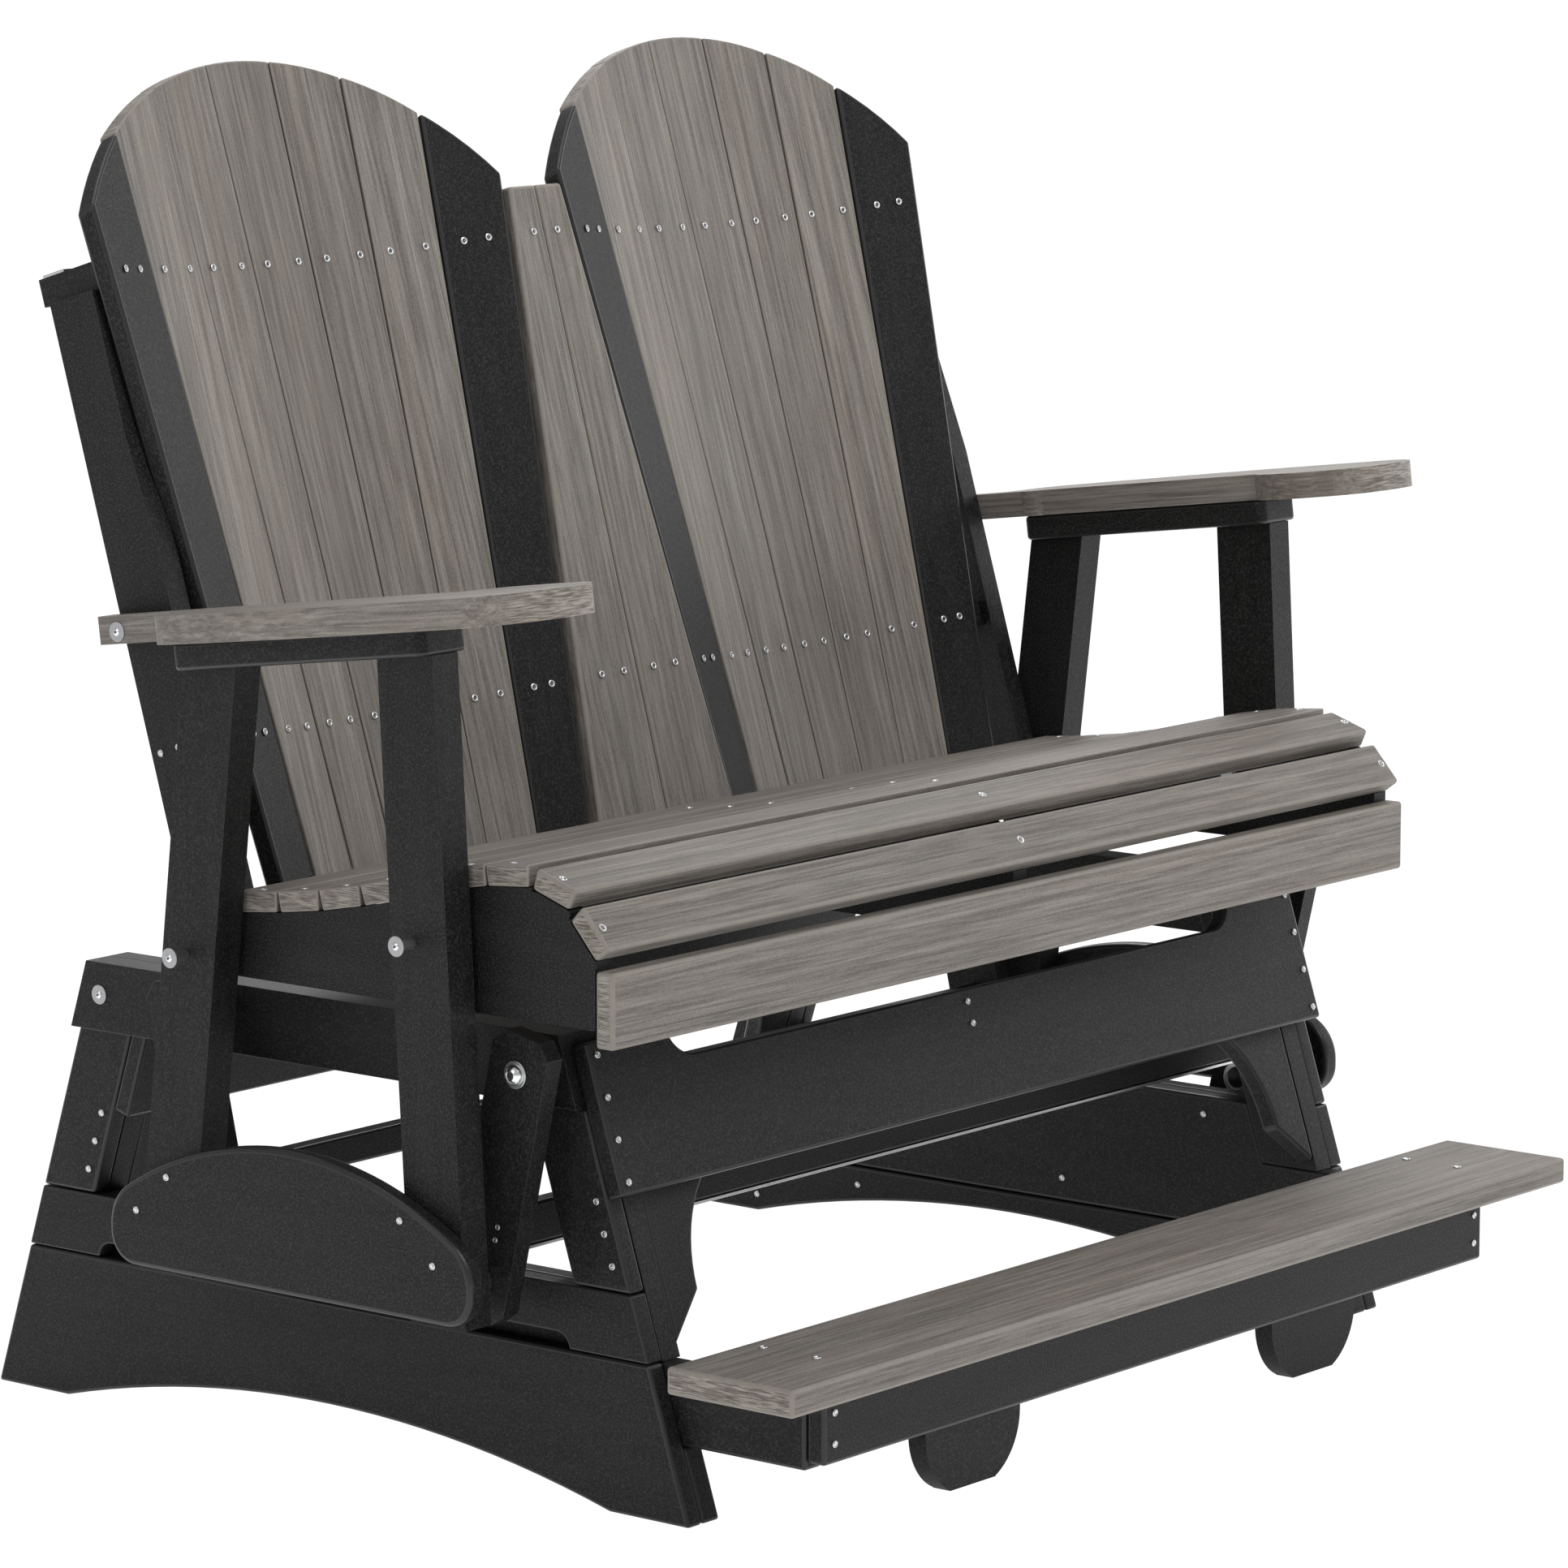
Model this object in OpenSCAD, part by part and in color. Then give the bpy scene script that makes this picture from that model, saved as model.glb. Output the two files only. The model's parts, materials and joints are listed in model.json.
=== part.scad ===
// Balcony-height double glider bench with two fan backs, swinging on four hangers
// from a fixed base that carries a footrest. Boards are recycled-plastic lumber.
// X runs along the bench, the front faces -Y, Z is up.
// Origin: on the floor, under the middle of the whole bench, footrest included.
// The modules are drawn about the middle of the side frames.

/* [Overall] */
// Length of the seat boards and of the footrest board
seat_w = 1219; // [1000:1:1500]
// Depth of the side frames at the floor
base_d = 860; // [760:1:1000]
// Height of the under side of the seat rails
rail_z = 450; // [440:1:520]

/* [Boards] */
// Width of the narrow boards: posts, hangers, top rails and uprights
board_w = 65; // [55:1:75]
// Thickness of the outer side boards, hangers, slats and rails
thin_t = 20; // [16:1:22]
// Thickness of the inner side boards and uprights
thick_t = 24; // [20:1:26]
// Thickness of the top rails of the base
rail_t = 32; // [26:1:34]
// Thickness of the arm posts
post_t = 33; // [28:1:40]

/* [Base] */
// Lean of the legs from the vertical
leg_lean = 18; // [12:0.5:22]
// Height of the skirt boards
skirt_h = 140; // [120:1:150]
// Height of the arch under the side frames
arch_h = 44; // [20:1:50]
// Width of each foot left under the arch
foot_w = 92; // [60:1:120]
// Height of the mid boards
mid_h = 60; // [50:1:70]
// Width of the leg boards
leg_w = 64; // [55:1:70]
// Height of the front and rear beams, measured along their slope
beam_h = 140; // [110:1:150]
// Height of the lower edge of the front and rear beams
beam_z = 288; // [275:1:295]
// Radius of the curved edge of the gussets
gusset_r = 130; // [100:1:150]

/* [Footrest] */
// Distance that the footrest board reaches in front of the side frames
footrest_reach = 173; // [150:1:220]
// Width of the footrest board, front to back
footrest_d = 140; // [110:1:150]
// Height of the top of the footrest board
footrest_z = 165; // [160:1:175]
// Places of the two footrest feet along the bench
foot_x = [-259, 280];

/* [Hangers] */
// Height of the upper pivots
pivot_z = 396; // [385:1:400]
// Distance between the upper and lower pivots
hanger_len = 196.5; // [185:0.5:200]
// Splay of the hangers from the vertical
hanger_tilt = 12.8; // [8:0.1:15]
// Distance between the front and rear upper pivots
pivot_span = 415; // [400:1:440]
// Distance of the front pivots behind the front edge of the legs
pivot_inset = 23.83; // [22:0.01:30]
// Space between the base and the arm posts for the hangers
hanger_room = 64; // [60:0.5:72]
// Diameter of the pivot bolts
bolt_d = 12; // [8:1:14]
// Diameter of the bolts that hold the posts and arms
seat_bolt_d = 10; // [6:1:12]

/* [Seat] */
// Width of a seat slat
slat_w = 50; // [40:0.5:50]
// Spacing of the seat slats
slat_pitch = 51; // [50.5:0.5:54]
// Slope of each flat seat slat, from the rear
slat_slopes = [6, 8, 11, 14, 15, 10, 5];
// Width of the two boards on the rolled front edge
roll_w = 47; // [40:1:50]
// Slope of the rolled front boards
roll_slopes = [-18.5, -48.5];
// Height of the front apron
apron_h = 68; // [50:1:80]
// Distance of the rear edge of the rearmost slat behind the middle of the hangers
seat_rear_y = 112; // [100:1:120]
// Height of the top of the rearmost slat at its rear edge
seat_rear_z = 527; // [520:1:560]

/* [Arms] */
// Height of the upper face of the arms above the front posts
arm_z = 821; // [780:1:860]
// Slope of the arms, rising to the front
arm_slope = 7.4; // [0:0.1:10]
// Thickness of the arms
arm_t = 26; // [20:1:30]
// Width of an arm behind its rounded front
arm_w = 107; // [100:1:130]

/* [Backs] */
// Lean of the backs from the vertical
back_lean = 16.7; // [12:0.1:20]
// Number of slats in each back
back_n = 7;
// Depth of the hollow of each back at the upper row of screws
back_hollow = 48.7; // [30:0.1:56]
// Half of the gap between the backs at the lower row of screws
fan_low = 92.3; // [85:0.1:100]
// Half of the gap between the backs at the upper row of screws
fan_high = 48.6; // [44:0.1:56]
// Distance of the backs from the ends of the seat at the upper row of screws
back_margin = 14.7; // [10:0.1:25]
// Distance between the two rows of screws
row_gap = 436; // [400:1:460]
// Rise of the arched tops from their corners
arch_rise = 135.5; // [110:0.5:160]
// Height of the arched tops above the lower row of screws
back_h = 632; // [580:1:680]

/* [Hidden] */
$fn = 48;

// Colours
black = [0.17, 0.17, 0.17];
driftwood = [0.47, 0.44, 0.41];
steel = [0.75, 0.76, 0.78];

// Layers across the bench, as distances from its middle
slat_end_x = seat_w / 2;
post_x = slat_end_x + 6.5;
outer_x = post_x - hanger_room - rail_t + thin_t;
inner_x = outer_x - thin_t;
frame_in_x = inner_x - thick_t;
rail_x = inner_x + rail_t;
hanger_x = rail_x + 20;
moon_x = post_x + post_t;
upright_x = slat_end_x - 9.5 - thick_t;
cross_x = upright_x + thick_t - 10;
seat_rail_x = slat_end_x - thin_t - 0.5;

// Levels and slopes
tl = tan(leg_lean);
cl = cos(leg_lean);
mid_z = skirt_h + mid_h;
rail_low = mid_z + 161.5;
rail_high = rail_low + board_w;
panel_low = skirt_h - 73;
foot_half = base_d / 2;
arch_half = foot_half - foot_w;
footrest_t = 25;
fascia_y = -foot_half - footrest_reach + 38;
pivot_y = pivot_span / 2;
drop_y = hanger_len * sin(hanger_tilt);
low_y = pivot_y - drop_y;
low_z = pivot_z - hanger_len * cos(hanger_tilt);
post_low = low_z - 31;
arm_tan = tan(arm_slope);
swing_y = pivot_y - foot_half + pivot_z * tl + pivot_inset;
arm_ref_y = swing_y - 165;
support_t = 25;
back_y = swing_y + 190.8;
back_z = 648.6;
gap = 0.15;
back_x = (slat_end_x - back_margin + fan_high) / 2;
back_r = (pow(back_x - fan_high, 2) + pow(back_hollow, 2)) / (2 * back_hollow);
pitch_low = fan_pitch(fan_low);
pitch_high = fan_pitch(fan_high);
arch_chord = back_x - fan_high + 6.3;
arch_r = (pow(arch_chord, 2) + pow(arch_rise, 2)) / (2 * arch_rise);
seat_bolts_at = [[swing_y - 137, rail_z + 63], [swing_y + 138, rail_z + 21]];
arm_bolt_at = [swing_y + 244, arm_top(swing_y + 244) - 14.9];

// Distance of a leg's outer edge from the middle of the frame at height z
function edge(z) = foot_half - z * tl;
// Spacing of the slats where a back ends g from the middle of the bench
function fan_pitch(g) = 2 * back_r * asin((back_x - g) / back_r) * PI / 180 / back_n;
// Height of the arms' upper face at y
function arm_top(y) = arm_z - arm_tan * (y - arm_ref_y);
// Arc of an arch from -w to w, h high, counted from the negative end
function arch(w, h, n = 24) = let (r = (w * w + h * h) / (2 * h), a = asin(w / r))
    [for (i = [0:n]) let (t = -a + 2 * a * i / n) [r * sin(t), r * cos(t) - r + h]];

module yz(x, t) {
    translate([x, 0, 0]) rotate([90, 0, 90]) linear_extrude(t) children();
}

module on_left() {
    mirror([1, 0, 0]) children();
}

// A screw head on a face that looks along -X before placing: axis along X
module screw(r = 4, t = 1.6, l = 12) {
    rotate([0, 90, 0]) cylinder(r = r, h = t);
    rotate([0, -90, 0]) cylinder(r = 2, h = l);
}

/* ---- Base ---- */

module skirt_shape(z0, z1, d0 = 0) {
    difference() {
        polygon([[-edge(z0), z0], [edge(z0), z0], [edge(z1), z1], [-edge(z1), z1]]);
        polygon(concat([[-arch_half, -1]], arch(arch_half, arch_h), [[arch_half, -1]]));
    }
}

module skirt() {
    color(black) yz(inner_x + gap, thin_t - gap) skirt_shape(0, skirt_h);
}

module inner_skirt() {
    color(black) yz(frame_in_x, thick_t) skirt_shape(0, panel_low - 1);
}

module mid_board() {
    slot = edge(mid_z) - 88;
    color(black) yz(inner_x + gap, thin_t - gap) difference() {
        polygon([[-edge(skirt_h + 1), skirt_h + 1], [edge(skirt_h + 1), skirt_h + 1],
                 [edge(mid_z), mid_z], [-edge(mid_z), mid_z]]);
        translate([-slot, skirt_h]) square([2 * slot, 15]);
        for (s = [-1, 1]) intersection() {
            translate([s * slot, skirt_h]) circle(15);
            translate([s * slot - 15, skirt_h]) square([30, 15]);
        }
    }
}

// A board that follows the lean of the legs from z0 to z1, s = 1 at the rear
module leg_shape(z0, z1, s, w = leg_w) {
    polygon([[s * edge(z0), z0], [s * edge(z1), z1],
             [s * (edge(z1) - w / cl), z1], [s * (edge(z0) - w / cl), z0]]);
}

module leg_caps() {
    color(black) yz(inner_x + gap, thin_t - gap)
        for (s = [-1, 1]) leg_shape(mid_z + 1, rail_low - 0.5, s);
}

module inner_legs() {
    color(black) yz(frame_in_x, thick_t) difference() {
        for (s = [-1, 1]) leg_shape(skirt_h + 0.5, rail_high, s);
        for (y = [swing_y - pivot_y, swing_y + pivot_y, foot_half - 156])
            translate([y, pivot_z]) circle(d = bolt_d);
    }
}

module top_rail() {
    color(black) yz(inner_x + gap, rail_t - gap) difference() {
        polygon([[-edge(rail_low), rail_low], [edge(rail_low), rail_low],
                 [edge(rail_high), rail_high], [-edge(rail_high), rail_high]]);
        for (y = [swing_y - pivot_y, swing_y + pivot_y, foot_half - 156])
            translate([y, pivot_z]) circle(d = bolt_d);
    }
}

module side_panel() {
    low = panel_low;
    shoulder = edge(skirt_h) - leg_w / cl;
    color(black) yz(frame_in_x, thick_t) polygon([
        [edge(low), low], [edge(skirt_h), skirt_h], [shoulder, skirt_h],
        [edge(mid_z) - leg_w / cl, mid_z], [-edge(mid_z) + leg_w / cl, mid_z],
        [-shoulder, skirt_h], [fascia_y + thin_t, skirt_h], [fascia_y + thin_t, low]]);
}

// A board lying on the sloped edges of the legs: y0 is its near face at height z0
module sloped_board(half_x, y0, z0, h, t, rear) {
    a = rear ? leg_lean : -leg_lean;
    translate([-half_x, y0, z0]) rotate([a, 0, 0]) cube([2 * half_x, t, h]);
}

// Front beam with a long shallow relief in its upper edge
module front_beam() {
    y0 = -edge(beam_z) - (thin_t - 1) / cl - 0.3;
    color(black) difference() {
        sloped_board(outer_x, y0, beam_z, beam_h, thin_t - 1, false);
        translate([0, y0, beam_z]) rotate([-leg_lean, 0, 0]) translate([0, thin_t, beam_h])
            rotate([90, 0, 0]) linear_extrude(2 * thin_t) hull()
                for (s = [-1, 1]) translate([s * (frame_in_x - 96), 0]) circle(30);
    }
}

// Rear beam, notched at its upper corners for the top rails
module rear_beam() {
    low = beam_z - 9;
    color(black) difference() {
        sloped_board(outer_x, edge(low) - leg_w / cl - (thin_t - 1) / cl - 0.3, low,
                     beam_h, thin_t - 1, true);
        for (s = [-1, 1]) translate([s * (inner_x + 50) - 50, 0, rail_low - 0.3])
            cube([100, foot_half, 2 * board_w]);
    }
}

module gusset_shape() {
    low = (mid_z - 49) / cl;
    corner = (mid_z - 9) / cl;
    top = (pivot_z - 20) / cl;
    arc_x = frame_in_x - 46 - gusset_r;
    linear_extrude(thin_t) polygon(concat(
        [[frame_in_x - 0.3, low], [frame_in_x - 46, corner]],
        [for (i = [1:18]) [arc_x + gusset_r * cos(i * 5), corner + gusset_r * sin(i * 5)]],
        [[arc_x, top], [frame_in_x - 0.3, top]]));
}

// Gussets against the inner faces of a front and a rear leg
module gusset() {
    color(black) {
        translate([0, -foot_half, 0]) rotate([-leg_lean, 0, 0])
            rotate([90, 0, 0]) translate([0, 0, -thin_t]) gusset_shape();
        translate([0, foot_half - leg_w / cl, 0]) rotate([leg_lean, 0, 0])
            rotate([90, 0, 0]) translate([0, 0, -thin_t]) gusset_shape();
    }
}

/* ---- Footrest ---- */

module footrest_fascia() {
    color(black) translate([-inner_x + 2, fascia_y, panel_low + 7])
        cube([2 * inner_x - 4, thin_t - 0.3, skirt_h - panel_low - 7]);
}

module footrest_board() {
    z0 = footrest_z - footrest_t;
    color(driftwood) translate([-slat_end_x, -foot_half - footrest_reach, max(z0, skirt_h + 0.3)])
        cube([seat_w, footrest_d, footrest_t - 0.3]);
}

module footrest_stringer() {
    color(black) translate([-frame_in_x + 0.3, fascia_y + thin_t, panel_low + 20])
        cube([2 * frame_in_x - 0.6, 15, skirt_h - panel_low - 20]);
}

module footrest_feet() {
    w = 70;
    flat = 32.5;
    r = 62;
    color(black) for (x = foot_x) translate([x, fascia_y + 2 * thin_t + 15.3, 0])
        rotate([90, 0, 0]) linear_extrude(thin_t) {
            translate([-w, 57]) square([2 * w, skirt_h - 57]);
            intersection() {
                translate([-w, 0]) square([2 * w, 57]);
                union() {
                    translate([-flat - 1, 0]) square([2 * flat + 2, 57]);
                    for (s = [-1, 1]) translate([s * (w - r), 57]) circle(r);
                }
            }
        }
}

/* ---- Fasteners of the base ---- */

module base_screws_side() {
    for (s = [-1, 1]) for (k = [0:2])
        translate([outer_x, s * (edge(mid_z + 24 + 28 * k) - 33.7) - 20, mid_z + 24 + 28 * k])
            screw();
    for (p = [[edge(40) - 80, 18], [200, 47], [-68, 91], [185 - foot_half, 181]]) let (y = p[0], z = p[1])
        translate([frame_in_x, y, z]) mirror([1, 0, 0]) screw();
}

module beam_screws() {
    for (x = [-outer_x + 10.5, outer_x - 10.5], k = [0:3])
        translate([x, -foot_half, 0]) rotate([-leg_lean, 0, 0])
            translate([0, -thin_t + 0.8, beam_z / cl + 5.5 + 38.5 * k])
                rotate([0, 0, -90]) screw();
    for (k = [0, 1])
        translate([-5, -foot_half, 0]) rotate([-leg_lean, 0, 0])
            translate([0, -thin_t + 0.8, beam_z / cl + 70 + 21 * k])
                rotate([0, 0, -90]) screw();
}

module footrest_screws() {
    for (x = [-frame_in_x - 8, frame_in_x + 8]) {
        for (z = [footrest_z - 45, footrest_z - 73])
            translate([x, fascia_y, z]) rotate([0, 0, -90]) screw();
        for (y = [0, 60]) translate([x, fascia_y + 20 + y, max(footrest_z, skirt_h + footrest_t)])
            rotate([0, -90, 0]) screw();
    }
}

module base_screws() {
    color(steel) {
        base_screws_side();
        on_left() base_screws_side();
        beam_screws();
        footrest_screws();
    }
}

// A bolt along X with its head on the outer end, from x0 to x1
module pivot_bolt(x0, x1, r = bolt_d / 2) {
    translate([x0, 0, 0]) rotate([0, 90, 0]) cylinder(r = r, h = x1 - x0);
}

module top_pivot_side() {
    for (y = [swing_y - pivot_y, swing_y + pivot_y]) translate([0, y, pivot_z]) {
        pivot_bolt(frame_in_x - 8, hanger_x + thin_t + 10);
        pivot_bolt(rail_x + 0.15, hanger_x - 0.3, 14);
        pivot_bolt(hanger_x + thin_t + 0.3, hanger_x + thin_t + 3, 12.5);
        pivot_bolt(hanger_x + thin_t + 3, hanger_x + thin_t + 10, 9.5);
        pivot_bolt(frame_in_x - 8, frame_in_x - 0.15, 10);
    }
    translate([0, foot_half - 156, pivot_z]) {
        pivot_bolt(frame_in_x - 8, rail_x + 3);
        pivot_bolt(rail_x + 0.15, rail_x + 3, 9.3);
        pivot_bolt(frame_in_x - 8, frame_in_x - 0.15, 10);
    }
}

module top_pivot_bolts() {
    color(steel) {
        top_pivot_side();
        on_left() top_pivot_side();
    }
}

/* ---- Swing ---- */

// Hanger about its upper pivot, s = -1 at the front and 1 at the rear
module hanger(s, low_bore) {
    over = 36;
    cut = 13;
    h = board_w / 2;
    color(black) translate([0, swing_y + s * pivot_y, pivot_z]) rotate([-s * hanger_tilt, 0, 0])
        yz(hanger_x, thin_t) difference() {
            polygon([[-h + cut, over], [h - cut, over], [h, over - cut],
                     [h, -hanger_len - over + cut], [h - cut, -hanger_len - over],
                     [-h + cut, -hanger_len - over], [-h, -hanger_len - over + cut], [-h, over - cut]]);
            circle(d = bolt_d + 0.1);
            translate([0, -hanger_len]) circle(d = low_bore);
        }
}

// Cross board between the hangers of one pair, 50 mm above the lower pivots
module stretcher_place(s, up) {
    y = swing_y + s * (low_y + up * tan(hanger_tilt));
    translate([-hanger_x + 0.15, y, low_z + up]) children();
}

module front_stretcher() {
    color(black) stretcher_place(-1, 46) translate([0, -thin_t / 2, -19])
        cube([2 * hanger_x - 0.3, thin_t, 38]);
}

module front_stretcher_strip() {
    color(steel) stretcher_place(-1, 46) translate([2, -thin_t / 2, -22])
        cube([2 * hanger_x - 4.3, thin_t, 3]);
}

module rear_stretcher() {
    color(black) stretcher_place(1, 43) translate([0, -thin_t / 2, -14])
        cube([2 * hanger_x - 0.3, thin_t, 28]);
}

/* ---- Seat frame ---- */

// Boards of the seat's top line, from the rear: flat ones, then the two rolled ones
slopes = concat(slat_slopes, roll_slopes);
flat_n = len(slat_slopes);
function width(i) = i < flat_n ? slat_w : roll_w;
function dir(a) = [-cos(a), sin(a)];
function down(a) = [-sin(a), -cos(a)];
// Step from the end of a board to the start of the next, along it and down from it
function step(i) = i < flat_n - 1 ? [slat_pitch - slat_w, 0] : i < flat_n ? [slat_pitch + 8 - slat_w, 3] : [11, 10];
function start(i) = i == 0 ? [swing_y + seat_rear_y, seat_rear_z]
    : finish(i - 1) + step(i - 1)[0] * dir(slopes[i - 1]) + step(i - 1)[1] * down(slopes[i - 1]);
function finish(i) = start(i) + width(i) * dir(slopes[i]);
front = finish(len(slopes) - 1);
apron_y = front[0] - 4;

nose_r = 75;
nose = start(flat_n) + (thin_t - 0.1) * down(slopes[flat_n]) + [-1, -78 + thin_t / 20];

// A rail under the seat boards, from rear_y to the apron
module rail_shape(rear_y) {
    under = thin_t - 0.1;
    top = [for (i = [0:len(slopes) - 1], e = [0, 1])
        (e == 0 ? start(i) : finish(i)) + under * down(slopes[i])];
    intersection() {
        polygon(concat([[rear_y, rail_z], [rear_y, top[0][1] - 4], [top[0][0] + 2, top[0][1] - 4]],
                       top, [[top[0][0] - 600, rail_z]]));
        translate([apron_y + thin_t + 0.3, rail_z]) square([900, 400]);
        union() {
            translate([nose[0], rail_z - 1]) square([900, 400]);
            translate(nose) circle(nose_r, $fn = 120);
            translate([nose[0] - nose_r, rail_z - 1]) square([900, nose[1] - rail_z + 1]);
        }
    }
}

module seat_rail() {
    color(black) yz(seat_rail_x, thin_t) difference() {
        rail_shape(swing_y + 200);
        for (p = seat_bolts_at) translate(p) circle(d = seat_bolt_d);
    }
}

module seat_rail_centre() {
    color(black) yz(-thin_t / 2, thin_t) rail_shape(swing_y + 126);
}

module slat(i, w) {
    p = start(i);
    translate([-slat_end_x, p[0], p[1]]) rotate([-slopes[i], 0, 0])
        rotate([90, 0, 90]) linear_extrude(seat_w)
            polygon([[0, 0], [-w, 0], [-w + 1.6, -thin_t + 0.5], [-1.6, -thin_t + 0.5]]);
}

module seat_slats() {
    color(driftwood) for (i = [0:flat_n - 1]) slat(i, slat_w);
}

module roll_slats() {
    color(driftwood) for (i = [flat_n:len(slopes) - 1]) slat(i, roll_w);
}

module apron() {
    color(driftwood) translate([-slat_end_x, apron_y, front[1] - 20 - apron_h])
        cube([seat_w, thin_t, apron_h]);
}

// Arm post in the YZ plane: rear edge at y on height z, leaning by a, bored for its two bolts
module post(y, z, a, s, bolt) {
    dy = s * tan(a);
    w = board_w / cos(a);
    low = post_low;
    function rear(h) = y + dy * (h - z);
    function top(yy) = arm_top(yy) - arm_t - support_t - 0.6;
    color(black) yz(post_x, post_t) difference() {
        polygon([
            [rear(low), low], [rear(top(y)), top(rear(top(y)))],
            [rear(top(y)) - w, top(rear(top(y)) - w)], [rear(low) - w, low]]);
        translate([swing_y - s * low_y, low_z]) circle(d = bolt_d);
        translate(bolt) circle(d = seat_bolt_d);
    }
}

module post_front() {
    post(swing_y - low_y + board_w / 2 + 1, low_z, 3.2, 1, seat_bolts_at[0]);
}

module post_rear() {
    post(swing_y + low_y + board_w / 2 + 1, low_z, 6.7, -1, seat_bolts_at[1]);
}

// Board with an arched top, its ends rounded off by circles that touch the arch
module half_moon() {
    r = 372;
    half = low_y + 56;
    low = low_z - 24;
    top = low_z + 107.5;
    end = 45;
    corner = 30;
    end_z = top - r + sqrt(pow(r - end, 2) - pow(half - end, 2));
    touch = r * (half - end) / (r - end);
    color(black) yz(moon_x + 0.15, thin_t - 0.5) translate([swing_y, 0]) {
        intersection() {
            translate([0, top - r]) circle(r, $fn = 180);
            translate([-touch, end_z - 1]) square([2 * touch, top]);
        }
        for (s = [-1, 1]) {
            intersection() {
                translate([s * (half - end), end_z]) circle(end, $fn = 72);
                translate([-half - 1, end_z - 1]) square([2 * half + 2, end + 2]);
            }
            translate([s * (half - corner), low + corner]) circle(corner);
        }
        translate([-half, low + corner]) square([2 * half, end_z - low - corner]);
        translate([corner - half, low]) square([2 * (half - corner), end_z - low]);
    }
}

/* ---- Arms ---- */

// Places children in the sloped plane whose height at arm_ref_y is z
module arm_plane(z) {
    translate([0, arm_ref_y, z]) rotate([-arm_slope, 0, 0]) children();
}

module arm_support() {
    x0 = post_x - 13;
    w = board_w - 5;
    r = 9;
    color(black) arm_plane(arm_z - (arm_t + support_t) / cos(arm_slope)) linear_extrude(support_t - 0.3)
        translate([x0 + r, r - 1]) round_rect(w - 2 * r, 304 - 2 * r, r);
}

// A rectangle of w by l, grown by r on all sides with round corners
module round_rect(w, l, r) {
    translate([-r, 0]) square([w + 2 * r, l]);
    translate([0, -r]) square([w, l + 2 * r]);
    for (x = [0, w], y = [0, l]) translate([x, y]) circle(r);
}

// Outline of an arm, with X across it and Y to the rear from the front post
module arm_outline() {
    in_x = upright_x + thick_t + 1;
    out_x = in_x + arm_w;
    tail = 21;
    nose = -143;
    bow = 1505;
    // body between its straight inner edge and its bowed outer edge
    intersection() {
        union() {
            translate([in_x, -75]) square([arm_w + 1, 365]);
            translate([in_x, -75]) square([37, 405]);
            translate([in_x + 37, 290]) circle(40);
            intersection() {
                translate([in_x + 61, -60]) circle(90);
                translate([in_x - 40, -75]) square([200, 200]);
            }
        }
        translate([out_x - bow, -5]) circle(bow, $fn = 400);
    }
    // rounded front, wider than the body
    translate([in_x + 13, nose + 42]) circle(42);
    translate([out_x - 69, nose + 69]) circle(69);
    translate([in_x + 13, nose]) square([out_x - in_x - 82, 100]);
    translate([in_x - 29, nose + 42]) square([100, 42]);
    // narrow tail along the upright, with a hollow corner
    translate([in_x, 290]) square([tail, 144]);
    difference() {
        translate([in_x + tail, 320]) square([20, 30]);
        translate([in_x + tail + 20, 350]) circle(20);
    }
}

module arm() {
    color(driftwood) difference() {
        arm_plane(arm_z - arm_t / cos(arm_slope)) linear_extrude(arm_t) arm_outline();
        translate([0, arm_bolt_at[0], arm_bolt_at[1]])
            pivot_bolt(upright_x + thick_t, upright_x + thick_t + 99, seat_bolt_d / 2);
    }
}

/* ---- Backs ---- */

// Places children in the frame of the backs: Z along the slats, Y to the rear
module back_frame() {
    translate([0, back_y, back_z]) rotate([-back_lean, 0, 0]) children();
}

function slat_angle(i, pitch) = i * pitch / back_r * 180 / PI;
function slat_half(w) = (pitch_low + (pitch_high - pitch_low) * w / row_gap) / 2 - 0.9;
slat_low = -142;
slat_top = back_h + 20;

// Places children in the plane of the front face of slat i, counted from the middle one
module slat_plane(i) {
    a0 = slat_angle(i, pitch_low);
    a1 = slat_angle(i, pitch_high);
    du = back_r * (sin(a1) - sin(a0));
    dv = back_r * (cos(a1) - cos(a0));
    translate([back_r * sin(a0), back_r * (cos(a0) - 1), 0])
        rotate([atan2(-dv, row_gap), atan2(du, row_gap), 0]) rotate([90, 0, -(a0 + a1) / 2])
            children();
}

module slat_outline(wider = 0) {
    polygon([[-slat_half(slat_low) - wider, slat_low], [slat_half(slat_low) + wider, slat_low],
             [slat_half(slat_top) + wider, slat_top], [-slat_half(slat_top) - wider, slat_top]]);
}

module back_slat(i) {
    slat_plane(i) translate([0, 0, -thin_t + 0.5]) linear_extrude(thin_t - 0.5) slat_outline();
}

// Keeps what lies under the arch of a back
module arched(dw = 0) {
    intersection() {
        children();
        rotate([90, 0, 0]) translate([0, 0, -60]) linear_extrude(220) {
            translate([0, back_h - arch_r]) circle(arch_r, $fn = 180);
            translate([-arch_r, slat_low - 10]) square([2 * arch_r, back_h - arch_r - slat_low + 10]);
        }
    }
}

module one_back(first, last, step = 1) {
    back_frame() arched() for (i = [first:step:last]) back_slat(i);
}

module back_slats() {
    k = (back_n - 3) / 2;
    color(driftwood) translate([back_x, 0, 0]) one_back(-k, k);
}

module back_edge_slats() {
    k = (back_n - 1) / 2;
    color(black) for (s = [-1, 1]) translate([s * back_x, 0, 0]) one_back(-k, k, 2 * k);
}

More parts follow.
